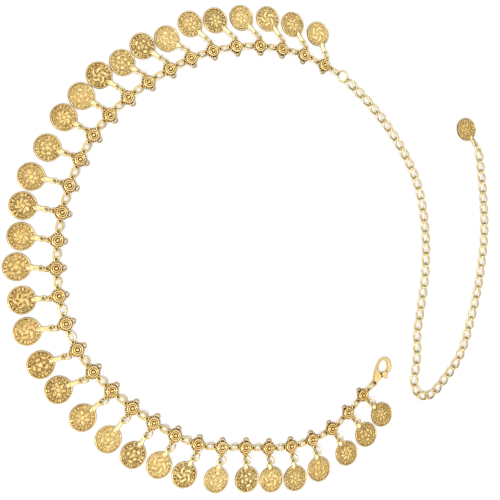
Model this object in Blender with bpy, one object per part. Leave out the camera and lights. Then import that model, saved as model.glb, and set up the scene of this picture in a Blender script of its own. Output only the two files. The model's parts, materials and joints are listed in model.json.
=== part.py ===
"""Coin waist chain laid flat as a nearly closed loop.

Round button stations are joined by small oval rings. A coin hangs from each station on a ring of
its own. One end has a sprung clasp, the other a long extender of twisted links with a last coin.
Tables are in millimetres; the finished parts are in metres, +Z up, resting on z = 0.
"""
import math

import bmesh
import bpy
from mathutils import Matrix, Vector

MM = 0.001
SEAM = 0.36
# an eight-sided loop drawn this much larger has the size of the round one it stands for
LOOP_GROWTH = 1.04

STATION_LEVELS = ((0.0, 3.9), (0.95, 4.2), (1.65, 4.2), (2.5, 2.7))
HOLE_OUT = 5.9
HOLE_Z = 1.3
LOOP_OUTLINE = ((5.9, 1.4), (7.1, 0.75), (7.1, -0.75), (5.9, -1.4))

JOIN_HALF_WIDTH = 2.45
JOIN_TILT = math.radians(27)
JOIN_WIRE = 0.46
JOIN_REST = 0.45

COIN_RING_R = 2.9
END_RING_R = 3.9
COIN_RING_WIRE = 0.36
COIN_RING_LEAN = math.radians(65)
CROSSING_UP = 1.048
COIN_R = 9.0
COIN_CORNER_R = 9.108
COIN_SIDES = 12
COIN_THICK = 1.5
EYE_R = 2.25
EYE_HOLE_R = 1.5
EYE_FLOOR = 1.05

LINK_CORNER_OUT = 3.024
LINK_LAP = 0.4
LINK_TWIST = math.radians(40)
LINK_WIRE = 0.64
LINK_WIRE_TURN = math.radians(20)
LINK_Z = 1.47
LINKS = 57
ROUND_RING_R = 4.25
ROUND_RING_Z = 0.55
END_HOLE_BACK = 0.3

BELT_SECTIONS = 12
CHAIN_SECTIONS = 8

# station number, x, y: the stations between two rows are spaced evenly along the curve
BELT_ROUTE = (
    (1, 92, -108), (3, 65, -131), (5, 31, -141), (7, -5, -139), (9, -41, -134), (11, -73, -117),
    (13, -102, -94), (15, -125, -66), (17, -137, -31), (19, -138, 5), (21, -130, 41), (23, -114, 75),
    (25, -90, 102), (27, -60, 124), (29, -28, 140), (31, 9, 147), (33, 45, 144), (34, 62, 138),
)

# swing of each coin from straight out (degrees), distance from its eye to its centre
COIN_LIE = (
    (4, 12.0), (1, 12.5), (4, 12.0), (-4, 12.0), (3, 13.0), (11, 12.0), (10, 12.0), (-5, 12.0),
    (-13, 12.0), (-5, 12.0), (-2, 14.5), (-2, 15.0), (-8, 15.0), (-19, 15.0), (-12, 15.0),
    (-12, 15.0), (-6, 13.5), (-5, 15.0), (0, 13.0), (5, 15.0), (10, 15.0), (11, 12.0), (7, 12.0),
    (15, 12.0), (19, 14.0), (29, 12.0), (30, 14.5), (39, 12.0), (34, 14.5), (43, 14.5), (45, 15.0),
    (44, 15.0), (48, 15.0), (42, 14.5),
)

# x, y along the extender, from its round ring to the joint after the last link
CHAIN_ROUTE = (
    (78, 131), (104, 109), (126, 84), (143, 54), (150, 21), (150, -15), (144, -49), (141, -66),
    (141, -82), (138, -98), (138, -106), (144, -112), (152, -112), (164, -102), (181, -83),
    (194, -51), (203, -18), (208, 17), (207, 52), (203.6, 82.5),
)
END_COIN_HEADING = (-0.582, 0.813)
END_COIN_REACH = 14.6

CLASP_TAIL = Vector((102.1, -99.4, 0.0))
CLASP_ALONG = Vector((0.400, 0.917, 0.0)).normalized()
CLASP_LEVELS = (0.1, 2.5)
CLASP_OUTLINE = (
    (-1.5, 1.7), (-2.3, 4.2), (-2.9, 7.6), (-3.4, 10.9), (-3.2, 15.0), (-2.7, 18.1), (-0.4, 20.3),
    (2.4, 21.1), (4.6, 20.6), (7.1, 18.8), (8.5, 16.4), (8.8, 13.8), (7.9, 11.1), (5.6, 12.9),
    (5.8, 14.5), (4.7, 17.1), (2.8, 18.8), (0.7, 19.1), (-0.9, 18.0), (-1.5, 16.0), (-1.9, 13.6),
    (-1.4, 11.4), (-0.9, 9.7), (0.9, 8.7), (2.4, 7.6), (3.1, 5.8), (2.9, 4.0), (1.9, 2.7), (1.5, 1.7),
)
SLOT_LEVELS = (0.6, 2.0)
SLOT_OUTLINE = ((-1.75, 3.3), (5.0, 3.3), (5.0, 8.6), (-0.4, 10.7), (-1.75, 10.7))
TAIL_LEVELS = (0.65, 1.95)
TAIL_R = 2.3
PIVOT = (-0.3, 5.4)
PIN_R = 0.45
PIN_HOLE_R = 0.85
PIN_LEVELS = (0.35, 2.25)
BLADE_LEVELS = (0.9, 1.7)
BLADE_OUTLINE = (
    (-1.35, 4.9), (-0.6, 4.25), (0.5, 4.45), (2.2, 5.3), (4.4, 6.3), (7.0, 8.6), (7.0, 10.9),
    (5.4, 12.1), (4.3, 10.7), (2.6, 9.7), (0.7, 8.8), (-0.9, 7.2), (-1.4, 6.0),
)
GRIP_LEVELS = (0.25, 2.35)
GRIP_OUTLINE = (
    (3.9, 6.0), (6.3, 6.9), (7.4, 6.5), (8.4, 7.2), (8.4, 8.3), (7.6, 9.0), (7.65, 10.8), (5.35, 12.6),
    (4.1, 10.9), (2.5, 9.85), (1.2, 9.3), (2.7, 8.3), (3.7, 7.0),
)


def clear_scene():
    """Take out whatever the file starts with."""
    for item in list(bpy.data.objects):
        bpy.data.objects.remove(item)


def gold(name, colour, roughness):
    """Plain metal material."""
    material = bpy.data.materials.new(name)
    material.use_nodes = True
    shader = material.node_tree.nodes["Principled BSDF"]
    shader.inputs["Base Color"].default_value = (*colour, 1.0)
    shader.inputs["Metallic"].default_value = 1.0
    shader.inputs["Roughness"].default_value = roughness
    return material


def solid(name, points, faces):
    """Closed mesh object in millimetres, facing out."""
    mesh = bpy.data.meshes.new(name)
    mesh.from_pydata([tuple(p) for p in points], [], faces)
    shape = bmesh.new()
    shape.from_mesh(mesh)
    bmesh.ops.recalc_face_normals(shape, faces=shape.faces[:])
    shape.to_mesh(mesh)
    shape.free()
    item = bpy.data.objects.new(name, mesh)
    bpy.context.collection.objects.link(item)
    return item


def combine(base, other, operation):
    """Join a piece to the base or cut it away, then drop the piece."""
    step = base.modifiers.new("combine", "BOOLEAN")
    step.operation = operation
    step.solver = "EXACT"
    step.object = other
    graph = bpy.context.evaluated_depsgraph_get()
    result = bpy.data.meshes.new_from_object(base.evaluated_get(graph))
    base.modifiers.clear()
    base.data = result
    bpy.data.objects.remove(other)


def fuse(name, pieces):
    """One closed body from overlapping pieces."""
    base = pieces[0]
    for piece in pieces[1:]:
        combine(base, piece, "UNION")
    base.name = name
    base.data.name = name
    return base


def curve_point(p0, p1, p2, p3, share):
    """Point between p1 and p2 on the centripetal curve through four points."""
    t1 = (p1 - p0).length ** 0.5
    t2 = t1 + (p2 - p1).length ** 0.5
    t3 = t2 + (p3 - p2).length ** 0.5
    t = t1 + (t2 - t1) * share
    a1 = p0.lerp(p1, t / t1)
    a2 = p1.lerp(p2, (t - t1) / (t2 - t1))
    a3 = p2.lerp(p3, (t - t2) / (t3 - t2))
    b1 = a1.lerp(a2, t / t2)
    b2 = a2.lerp(a3, (t - t1) / (t3 - t1))
    return b1.lerp(b2, (t - t1) / (t2 - t1))


def runs(points):
    """Finely divided curve between each two points of a route."""
    flat = [Vector((x, y, 0.0)) for x, y in points]
    flat = [2 * flat[0] - flat[1]] + flat + [2 * flat[-1] - flat[-2]]
    return [
        [curve_point(*flat[i:i + 4], j / 24) for j in range(25)]
        for i in range(len(points) - 1)
    ]


def spaced(run, count):
    """Start point and the points that cut a run into equal lengths, without its end."""
    lengths = [(b - a).length for a, b in zip(run, run[1:])]
    total = sum(lengths)
    found = []
    for number in range(count):
        left = total * number / count
        for i, length in enumerate(lengths):
            if left <= length:
                found.append(run[i].lerp(run[i + 1], left / length))
                break
            left -= length
    return found


def headings(spots):
    """Unit direction of travel at each spot."""
    last = len(spots) - 1
    return [
        (spots[min(i + 1, last)] - spots[max(i - 1, 0)]).normalized()
        for i in range(last + 1)
    ]


def belt_spots():
    """Centres of the stations in order from the clasp."""
    spots = []
    for i, run in enumerate(runs([row[1:] for row in BELT_ROUTE])):
        spots.extend(spaced(run, BELT_ROUTE[i + 1][0] - BELT_ROUTE[i][0]))
    spots.append(Vector((*BELT_ROUTE[-1][1:], 0.0)))
    return spots


def chain_joints():
    """Round ring centre, then the joint before each link and after the last."""
    whole = []
    for run in runs(CHAIN_ROUTE):
        whole.extend(run if not whole else run[1:])
    halves = spaced(whole, 2 * LINKS + 1) + [whole[-1]]
    return [halves[0]] + halves[1::2]


def left_of(heading):
    """Level direction a quarter turn anticlockwise from a heading."""
    return Vector((-heading.y, heading.x, 0.0))


def station(spot, heading):
    """Button disc with a filled loop on each of four sides."""
    side = left_of(heading)
    flat = []
    for z, radius in STATION_LEVELS:
        for k in range(8):
            angle = math.radians(22.5 + 45 * k)
            flat.append((radius * math.cos(angle), radius * math.sin(angle), z))
    faces = [tuple(range(8)), tuple(range(24, 32))]
    for k in range(8):
        n = (k + 1) % 8
        faces.append((k, n, 8 + n, 8 + k))
        faces.append((16 + k, 16 + n, 24 + n, 24 + k))
        if k % 2 == 0:
            faces.append((8 + k, 8 + n, 16 + n, 16 + k))
            continue
        turn = math.radians(45 * (k + 1))
        low, high = [8 + k], [16 + k]
        for out, across in reversed(LOOP_OUTLINE):
            x = out * math.cos(turn) - across * math.sin(turn)
            y = out * math.sin(turn) + across * math.cos(turn)
            low.append(len(flat))
            flat.append((x, y, STATION_LEVELS[1][0]))
            high.append(len(flat))
            flat.append((x, y, STATION_LEVELS[2][0]))
        low.append(8 + n)
        high.append(16 + n)
        faces.append(tuple(low))
        faces.append(tuple(high))
        for i in range(5):
            faces.append((low[i], low[i + 1], high[i + 1], high[i]))
    points = [spot + heading * x + side * y + Vector((0, 0, z)) for x, y, z in flat]
    return solid("station", points, faces)


def wire(path, hub, radius, sides, closed, turn=0.0):
    """Faceted wire along a path; without a turn one flat faces away from the hub."""
    count = len(path)
    points = []
    for i, point in enumerate(path):
        ahead = path[(i + 1) % count] - point if closed or i < count - 1 else point - path[i - 1]
        behind = point - path[i - 1] if closed or i > 0 else ahead
        along = (ahead.normalized() + behind.normalized()).normalized()
        stretch = 1 / along.dot(ahead.normalized())
        out = point - hub
        out = (out - along * out.dot(along)).normalized()
        across = along.cross(out)
        for j in range(sides):
            angle = math.pi * (2 * j + 1) / sides + turn
            points.append(point + out * (radius * stretch * math.cos(angle))
                          + across * (radius * math.sin(angle)))
    faces = []
    for i in range(count if closed else count - 1):
        a, b = sides * i, sides * ((i + 1) % count)
        for j in range(sides):
            n = (j + 1) % sides
            faces.append((a + j, a + n, b + n, b + j))
    if not closed:
        faces.append(tuple(range(sides)))
        faces.append(tuple(range(sides * (count - 1), sides * count)))
    return solid("wire", points, faces)


def loop_path(at, along_size, across_size, half):
    """Eight points round a loop, or the six of the half on the given side of a seam."""
    angles = [math.radians(22.5 + 45 * k) for k in range(8)]
    if not half:
        return [at(along_size * math.cos(a), across_size * math.sin(a)) for a in angles]
    edge = across_size * math.sin(math.radians(67.5))
    flat = [(SEAM / 2, edge)]
    for degrees in (67.5, 22.5, -22.5, -67.5):
        angle = math.radians(degrees)
        flat.append((along_size * math.cos(angle), across_size * math.sin(angle)))
    flat.append((SEAM / 2, -edge))
    return [at(x * half, y) for x, y in flat]


def join_ring(start, end, half=0):
    """Oval ring through two loop holes, high on the inner side; half picks the end at start (-1) or end (1)."""
    along = (end - start).normalized()
    inward = -left_of(along)
    across = inward * math.cos(JOIN_TILT) + Vector((0, 0, math.sin(JOIN_TILT)))
    rise = JOIN_HALF_WIDTH * math.sin(JOIN_TILT) + JOIN_REST
    shift = (HOLE_Z - rise) / math.sin(JOIN_TILT)
    hub = (start + end) / 2 - inward * shift * math.cos(JOIN_TILT)
    hub.z = rise
    length = (end - start).length / 2 / math.sqrt(1 - (shift / JOIN_HALF_WIDTH) ** 2)
    path = loop_path(lambda x, y: hub + along * x + across * y,
                     LOOP_GROWTH * length, LOOP_GROWTH * JOIN_HALF_WIDTH, half)
    return wire(path, hub, JOIN_WIRE, 3, not half)


def coin_ring_frame(hole, out, radius):
    """Hub, in-plane upward direction and chord length of a leaning ring that starts at a hole."""
    upward = left_of(out) * math.cos(COIN_RING_LEAN) + Vector((0, 0, math.sin(COIN_RING_LEAN)))
    drop = radius - CROSSING_UP
    chord = 2 * math.sqrt(radius ** 2 - drop ** 2)
    hub = hole + out * (chord / 2) + upward * drop
    hub.z = HOLE_Z + drop * math.sin(COIN_RING_LEAN)
    return hub, upward, chord


def coin_ring(hole, out, radius):
    """Leaning ring that carries a coin."""
    hub, upward, _ = coin_ring_frame(hole, out, radius)
    path = loop_path(lambda x, y: hub + out * x + upward * y, LOOP_GROWTH * radius, LOOP_GROWTH * radius, 0)
    return wire(path, hub, COIN_RING_WIRE, 3, True)


def coin_shape(reach):
    """Corners and faces of a coin with its eye, measured from under the eye's centre."""
    n = COIN_SIDES
    corners = []

    def add_rim(radius, middle, z, first, count, start_angle):
        for k in range(first, count):
            angle = math.radians(start_angle + 360 / count * k)
            corners.append((middle + radius * math.cos(angle), radius * math.sin(angle), z))
        return len(corners) - count

    for z in (0.0, COIN_THICK):
        add_rim(COIN_CORNER_R, reach, z, 0, n, 195)
    low = 2 * n, 2 * n + 1
    top = 2 * n - 1, n
    corners.append((corners[n - 1][0], corners[n - 1][1], EYE_FLOOR))
    corners.append((corners[0][0], corners[0][1], EYE_FLOOR))
    outer_low = add_rim(EYE_R, 0.0, EYE_FLOOR, 1, 6, 0)
    outer_high = add_rim(EYE_R, 0.0, COIN_THICK, 1, 6, 0)
    hole_low = add_rim(EYE_HOLE_R, 0.0, EYE_FLOOR, 0, 6, 0)
    hole_high = add_rim(EYE_HOLE_R, 0.0, COIN_THICK, 0, 6, 0)

    faces = [tuple(range(n)), tuple(range(n, 2 * n))]
    faces.extend((k, k + 1, n + k + 1, n + k) for k in range(n - 1))
    faces.extend(((n - 1, 0, low[1], low[0]), (n - 1, low[0], top[0]), (0, top[1], low[1])))
    for outer, inner, base in ((outer_low, hole_low, low), (outer_high, hole_high, top)):
        faces.extend((outer + k, outer + k + 1, inner + k + 1, inner + k) for k in range(1, 5))
        faces.append((base[0], outer + 1, inner + 1, inner))
        faces.append((base[1], outer + 5, inner + 5, inner))
        faces.append((base[0], base[1], inner))
    for k in range(1, 5):
        faces.append((outer_low + k, outer_low + k + 1, outer_high + k + 1, outer_high + k))
    for k in range(6):
        m = (k + 1) % 6
        faces.append((hole_low + k, hole_low + m, hole_high + m, hole_high + k))
    faces.append((low[0], outer_low + 1, outer_high + 1, top[0]))
    faces.append((low[1], outer_low + 5, outer_high + 5, top[1]))
    return corners, faces


def coin(name, hole, out, reach, ring_radius):
    """Coin with its eye, lying flat; its origin is the hub of its ring."""
    hub, _, chord = coin_ring_frame(hole, out, ring_radius)
    corners, faces = coin_shape(reach)
    side = left_of(out)
    eye = hole + out * chord
    eye.z = 0.0
    points = [eye + out * x + side * y + Vector((0, 0, z)) - hub for x, y, z in corners]
    item = solid(name, points, faces)
    item.location = hub
    return item


def link(start, end, half=0):
    """Twisted link between two joints, or the half that reaches the start (-1) or the end (1)."""
    along = (end - start).normalized()
    side = left_of(along)
    hub = (start + end) / 2
    hub.z = LINK_Z
    length = (end - start).length / 2 + LINK_LAP

    def at(x, y):
        turn = LINK_TWIST * x / length
        return hub + along * x + side * (y * math.cos(turn)) + Vector((0, 0, y * math.sin(turn)))

    corner = math.cos(math.radians(22.5))
    path = loop_path(at, length / corner, LINK_CORNER_OUT, half)
    return wire(path, hub, LINK_WIRE, 3, not half, LINK_WIRE_TURN)


def prism(outline, levels):
    """Flat plate in the clasp's own directions."""
    right = -left_of(CLASP_ALONG)
    points = []
    for z in levels:
        for x, y in outline:
            points.append(CLASP_TAIL + right * x + CLASP_ALONG * y + Vector((0, 0, z)))
    n = len(outline)
    faces = [tuple(range(n)), tuple(range(n, 2 * n))]
    faces.extend((k, (k + 1) % n, n + (k + 1) % n, n + k) for k in range(n))
    return solid("plate", points, faces)


def round_outline(centre, radius, sides):
    """Corners of a round outline in the clasp's own directions."""
    return [
        (centre[0] + radius * math.cos(2 * math.pi * (k + 0.5) / sides),
         centre[1] + radius * math.sin(2 * math.pi * (k + 0.5) / sides))
        for k in range(sides)
    ]


def pivot_point():
    """Clasp pivot on the level of the lever's middle."""
    right = -left_of(CLASP_ALONG)
    point = CLASP_TAIL + right * PIVOT[0] + CLASP_ALONG * PIVOT[1]
    point.z = sum(BLADE_LEVELS) / 2
    return point


def clasp_body(first_hole):
    """Hook, slotted base, pin and tail, with the half ring that meets the first station's."""
    body = prism(CLASP_OUTLINE, CLASP_LEVELS)
    combine(body, prism(SLOT_OUTLINE, SLOT_LEVELS), "DIFFERENCE")
    pin = prism(round_outline(PIVOT, PIN_R, 6), PIN_LEVELS)
    tail = prism(round_outline((0.0, 0.0), TAIL_R, 8), TAIL_LEVELS)
    return fuse("clasp_body", [body, pin, tail, join_ring(CLASP_TAIL, first_hole, -1)])


def clasp_lever():
    """Sprung lever with its thumb grip; its origin is the pivot."""
    lever = prism(BLADE_OUTLINE, BLADE_LEVELS)
    combine(lever, prism(round_outline(PIVOT, PIN_HOLE_R, 8), (0.0, 3.0)), "DIFFERENCE")
    fuse("clasp_lever", [lever, prism(GRIP_OUTLINE, GRIP_LEVELS)])
    pivot = pivot_point()
    lever.data.transform(Matrix.Translation(-pivot))
    lever.location = pivot
    return lever


def out_direction(heading, swing):
    """Level direction of a coin from its station."""
    return Matrix.Rotation(math.radians(swing), 3, "Z") @ left_of(heading)


def bounds_of_share(total, parts, number):
    """First and last item of one of several nearly equal shares."""
    return round(total * number / parts), round(total * (number + 1) / parts) - 1


def belt_section(number, spots, ways, clasp_hole, extender_hole):
    """Neighbouring stations with their rings in one body."""
    first, last = bounds_of_share(len(spots), BELT_SECTIONS, number)
    pieces = []
    for k in range(first, last + 1):
        back = spots[k] - ways[k] * HOLE_OUT
        front = spots[k] + ways[k] * HOLE_OUT
        pieces.append(station(spots[k], ways[k]))
        out = out_direction(ways[k], COIN_LIE[k][0])
        pieces.append(coin_ring(spots[k] + left_of(ways[k]) * HOLE_OUT, out, COIN_RING_R))
        if k == first:
            before = clasp_hole if k == 0 else spots[k - 1] + ways[k - 1] * HOLE_OUT
            pieces.append(join_ring(before, back, 1))
        if k == last:
            after = extender_hole if k == len(spots) - 1 else spots[k + 1] - ways[k + 1] * HOLE_OUT
            pieces.append(join_ring(front, after, -1))
        else:
            pieces.append(join_ring(front, spots[k + 1] - ways[k + 1] * HOLE_OUT))
    return fuse("belt_section_%02d" % (number + 1), pieces)


def round_ring(centre):
    """Flat ring at the start of the extender."""
    hub = centre + Vector((0, 0, ROUND_RING_Z))
    path = loop_path(lambda x, y: hub + Vector((x, y, 0)),
                     LOOP_GROWTH * ROUND_RING_R, LOOP_GROWTH * ROUND_RING_R, 0)
    return wire(path, hub, LINK_WIRE, 4, True)


def end_hole(joints):
    """Where the last ring passes inside the last link."""
    return joints[-1] - (joints[-1] - joints[-2]).normalized() * END_HOLE_BACK


def end_heading():
    """Level direction in which the end coin lies."""
    return Vector((*END_COIN_HEADING, 0.0)).normalized()


def chain_section(number, joints, last_hole, extender_hole):
    """Neighbouring links in one body; the outer sections also carry the rings at either end."""
    first, last = bounds_of_share(LINKS, CHAIN_SECTIONS, number)
    whole = range(first if number == 0 else first + 1, last + 1)
    pieces = [link(joints[k + 1], joints[k + 2]) for k in whole]
    if number == 0:
        pieces.append(round_ring(joints[0]))
        pieces.append(join_ring(last_hole, extender_hole, 1))
    else:
        pieces.append(link(joints[first + 1], joints[first + 2], 1))
    if number == CHAIN_SECTIONS - 1:
        pieces.append(coin_ring(end_hole(joints), end_heading(), END_RING_R))
    else:
        pieces.append(link(joints[last + 2], joints[last + 3], -1))
    return fuse("chain_section_%02d" % (number + 1), pieces)


def paint(items, material):
    """Give every item one material."""
    for item in items:
        item.data.materials.clear()
        item.data.materials.append(material)


def settle(items):
    """Centre the layout on the origin, rest it on z = 0 and turn millimetres into metres."""
    corners = [item.location + point.co for item in items for point in item.data.vertices]
    low = Vector([min(corner[i] for corner in corners) for i in range(3)])
    high = Vector([max(corner[i] for corner in corners) for i in range(3)])
    shift = Vector((-(low.x + high.x) / 2, -(low.y + high.y) / 2, -low.z))
    for item in items:
        if item.location.length > 0:
            item.location = (item.location + shift) * MM
        else:
            item.data.transform(Matrix.Translation(shift))
        item.data.transform(Matrix.Scale(MM, 4))


def main():
    """Build every node and set it in the part's frame."""
    clear_scene()
    spots = belt_spots()
    ways = headings(spots)
    joints = chain_joints()
    first_hole = spots[0] - ways[0] * HOLE_OUT
    last_hole = spots[-1] + ways[-1] * HOLE_OUT
    extender_hole = joints[0] + (last_hole - joints[0]).normalized() * ROUND_RING_R
    clasp = [clasp_body(first_hole), clasp_lever()]
    belt = [belt_section(i, spots, ways, CLASP_TAIL, extender_hole) for i in range(BELT_SECTIONS)]
    chain = [chain_section(i, joints, last_hole, extender_hole) for i in range(CHAIN_SECTIONS)]
    coins = []
    for k, (swing, reach) in enumerate(COIN_LIE):
        hole = spots[k] + left_of(ways[k]) * HOLE_OUT
        coins.append(coin("coin_%02d" % (k + 1), hole, out_direction(ways[k], swing), reach, COIN_RING_R))
    coins.append(coin("coin_end", end_hole(joints), end_heading(), END_COIN_REACH, END_RING_R))
    paint(clasp, gold("clasp_gold", (0.79, 0.51, 0.16), 0.28))
    paint(belt, gold("belt_gold", (0.70, 0.46, 0.15), 0.34))
    paint(chain, gold("chain_gold", (0.80, 0.62, 0.30), 0.30))
    paint(coins, gold("coin_gold", (0.76, 0.53, 0.20), 0.36))
    settle(clasp + belt + chain + coins)


main()
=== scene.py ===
import json
import math

import bpy
import numpy as np
from mathutils import Matrix, Vector


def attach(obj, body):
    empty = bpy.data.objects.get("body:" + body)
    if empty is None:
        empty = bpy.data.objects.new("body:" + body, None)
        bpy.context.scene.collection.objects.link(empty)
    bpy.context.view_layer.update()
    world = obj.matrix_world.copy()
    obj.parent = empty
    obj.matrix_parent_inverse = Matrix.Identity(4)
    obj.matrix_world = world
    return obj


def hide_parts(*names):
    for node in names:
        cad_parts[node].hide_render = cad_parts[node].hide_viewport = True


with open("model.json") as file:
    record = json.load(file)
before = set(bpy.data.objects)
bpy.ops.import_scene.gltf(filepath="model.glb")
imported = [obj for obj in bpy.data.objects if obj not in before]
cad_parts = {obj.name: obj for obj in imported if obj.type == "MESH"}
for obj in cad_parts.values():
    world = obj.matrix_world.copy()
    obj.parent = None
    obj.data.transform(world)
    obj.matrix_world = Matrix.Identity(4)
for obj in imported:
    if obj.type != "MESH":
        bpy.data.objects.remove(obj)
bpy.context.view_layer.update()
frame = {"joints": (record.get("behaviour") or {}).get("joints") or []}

# The looks of a coin waist chain: every piece in its full form, in place of the plain solids.
# Everything is modelled in millimetres in the layout's own frame, then moved onto the CAD.
MM = 0.001

# The hole in a station's loop: from the station's centre, and its height
HOLE_OUT = 5.9
HOLE_Z = 1.3

COIN_R = 9.0
COIN_THICK = 1.5

# The leaning rings that carry coins cross the loops this far above their lowest point, along their plane
LEAN = math.radians(65)
CROSSING_UP = 1.048
COIN_RING_R = 2.9
COIN_RING_WIRE = 0.44
END_RING_R = 3.9
END_RING_WIRE = 0.36
END_HOLE_BACK = 0.3

# The extender starts with a round ring
LINKS = 57
ROUND_RING_R = 4.25
ROUND_RING_WIRE = 0.55

BELT_SECTIONS = 12
CHAIN_SECTIONS = 8
CURVE_STEPS = 24
WIRE_SIDES = 10
RING_POINTS = 44

# Station number, x, y
BELT_ROUTE = (
    (1, 92, -108), (3, 65, -131), (5, 31, -141), (7, -5, -139), (9, -41, -134), (11, -73, -117),
    (13, -102, -94), (15, -125, -66), (17, -137, -31), (19, -138, 5), (21, -130, 41), (23, -114, 75),
    (25, -90, 102), (27, -60, 124), (29, -28, 140), (31, 9, 147), (33, 45, 144), (34, 62, 138),
)
# Swing in degrees, eye to coin centre
COIN_LIE = (
    (4, 12.0), (1, 12.5), (4, 12.0), (-4, 12.0), (3, 13.0), (11, 12.0), (10, 12.0), (-5, 12.0),
    (-13, 12.0), (-5, 12.0), (-2, 14.5), (-2, 15.0), (-8, 15.0), (-19, 15.0), (-12, 15.0),
    (-12, 15.0), (-6, 13.5), (-5, 15.0), (0, 13.0), (5, 15.0), (10, 15.0), (11, 12.0), (7, 12.0),
    (15, 12.0), (19, 14.0), (29, 12.0), (30, 14.5), (39, 12.0), (34, 14.5), (43, 14.5), (45, 15.0),
    (44, 15.0), (48, 15.0), (42, 14.5),
)
# Light, middling or dark patina of each coin, judged one by one
COIN_WEAR = "MMMLMLDLDLDLMDDMDMMDMMMLDMDLMDLMML"
CHAIN_ROUTE = (
    (78, 131), (104, 109), (126, 84), (143, 54), (150, 21), (150, -15), (144, -49), (141, -66),
    (141, -82), (138, -98), (138, -106), (144, -112), (152, -112), (164, -102), (181, -83),
    (194, -51), (203, -18), (208, 17), (207, 52), (203.6, 82.5),
)
END_HEADING = np.array([-0.582, 0.813, 0.0]) / math.hypot(0.582, 0.813)
END_REACH = 14.6
CLASP_TAIL = np.array([102.1, -99.4, 0.0])
CLASP_ALONG = np.array([0.400, 0.917, 0.0]) / math.hypot(0.400, 0.917)
UP = np.array([0.0, 0.0, 1.0])


# Layout, as in the solids

def unit(v):
    """The vector at length 1."""
    return v / np.linalg.norm(v)


def left_of(v):
    """The level vector turned a quarter to the left."""
    return np.array([-v[1], v[0], 0.0])


def curve_point(p0, p1, p2, p3, share):
    """Point between p1 and p2 on the centripetal curve through four points."""
    t1 = np.linalg.norm(p1 - p0) ** 0.5
    t2 = t1 + np.linalg.norm(p2 - p1) ** 0.5
    t3 = t2 + np.linalg.norm(p3 - p2) ** 0.5
    t = t1 + (t2 - t1) * share
    a1 = p0 + (p1 - p0) * t / t1
    a2 = p1 + (p2 - p1) * (t - t1) / (t2 - t1)
    a3 = p2 + (p3 - p2) * (t - t2) / (t3 - t2)
    b1 = a1 + (a2 - a1) * t / t2
    b2 = a2 + (a3 - a2) * (t - t1) / (t3 - t1)
    return b1 + (b2 - b1) * (t - t1) / (t2 - t1)


def runs(points):
    """Smooth curve through level points, as one run of points from each to the next."""
    flat = [np.array([x, y, 0.0]) for x, y in points]
    flat = [2 * flat[0] - flat[1]] + flat + [2 * flat[-1] - flat[-2]]
    return [np.array([curve_point(*flat[i:i + 4], j / CURVE_STEPS) for j in range(CURVE_STEPS + 1)])
            for i in range(len(points) - 1)]


def spaced(run, count):
    """Start point and the points that cut a run into equal lengths, without its end."""
    reach = np.concatenate([[0], np.cumsum(np.linalg.norm(np.diff(run, axis=0), axis=1))])
    at = reach[-1] * np.arange(count) / count
    return [np.array([np.interp(s, reach, run[:, i]) for i in range(3)]) for s in at]


def belt_layout():
    """Centre of each station and the direction of the belt there."""
    spots = []
    for i, run in enumerate(runs([row[1:] for row in BELT_ROUTE])):
        spots.extend(spaced(run, BELT_ROUTE[i + 1][0] - BELT_ROUTE[i][0]))
    spots.append(np.array([*BELT_ROUTE[-1][1:], 0.0]))
    last = len(spots) - 1
    ways = [unit(spots[min(i + 1, last)] - spots[max(i - 1, 0)]) for i in range(last + 1)]
    return spots, ways


def chain_layout():
    """Centre of the extender's round ring, then the joints between its links."""
    parts = runs(CHAIN_ROUTE)
    whole = np.vstack([parts[0]] + [run[1:] for run in parts[1:]])
    halves = spaced(whole, 2 * LINKS + 1) + [whole[-1]]
    return [halves[0]] + halves[1::2]


def out_direction(way, swing):
    """Level direction from the belt's outer side, turned by the swing in degrees."""
    a, n = math.radians(swing), left_of(way)
    return np.array([n[0] * math.cos(a) - n[1] * math.sin(a), n[0] * math.sin(a) + n[1] * math.cos(a), 0.0])


def coin_ring_frame(hole, out, radius):
    """Hub, in-plane upward direction and chord of the leaning ring that carries a coin."""
    upward = left_of(out) * math.cos(LEAN) + UP * math.sin(LEAN)
    drop = radius - CROSSING_UP
    chord = 2 * math.sqrt(radius ** 2 - drop ** 2)
    hub = hole + out * (chord / 2) + upward * drop
    hub[2] = HOLE_Z + drop * math.sin(LEAN)
    return hub, upward, chord


def share_of(total, parts, number):
    """First and last of what falls to one of the equal parts."""
    return round(total * number / parts), round(total * (number + 1) / parts) - 1


SPOTS, WAYS = belt_layout()
JOINTS = chain_layout()
END_HOLE = JOINTS[-1] - unit(JOINTS[-1] - JOINTS[-2]) * END_HOLE_BACK
FIRST_HOLE = SPOTS[0] - WAYS[0] * HOLE_OUT
LAST_HOLE = SPOTS[-1] + WAYS[-1] * HOLE_OUT
EXTENDER_HOLE = JOINTS[0] + unit(LAST_HOLE - JOINTS[0]) * ROUND_RING_R


def coin_hole(k):
    """Middle of the loop that holds the ring of coin k."""
    return SPOTS[k] + left_of(WAYS[k]) * HOLE_OUT


def find_shift():
    """Distance from the layout's frame to the CAD's, in millimetres, read off the first coin's hinge."""
    hinge = next(j for j in frame["joints"] if j["child"] == "coin_01")
    hub, _, _ = coin_ring_frame(coin_hole(0), out_direction(WAYS[0], COIN_LIE[0][0]), COIN_RING_R)
    return np.array(hinge["pos_m"]) / MM - hub


SHIFT = find_shift()


# Mesh building

SHARP_ANGLE = math.radians(50)


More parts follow.
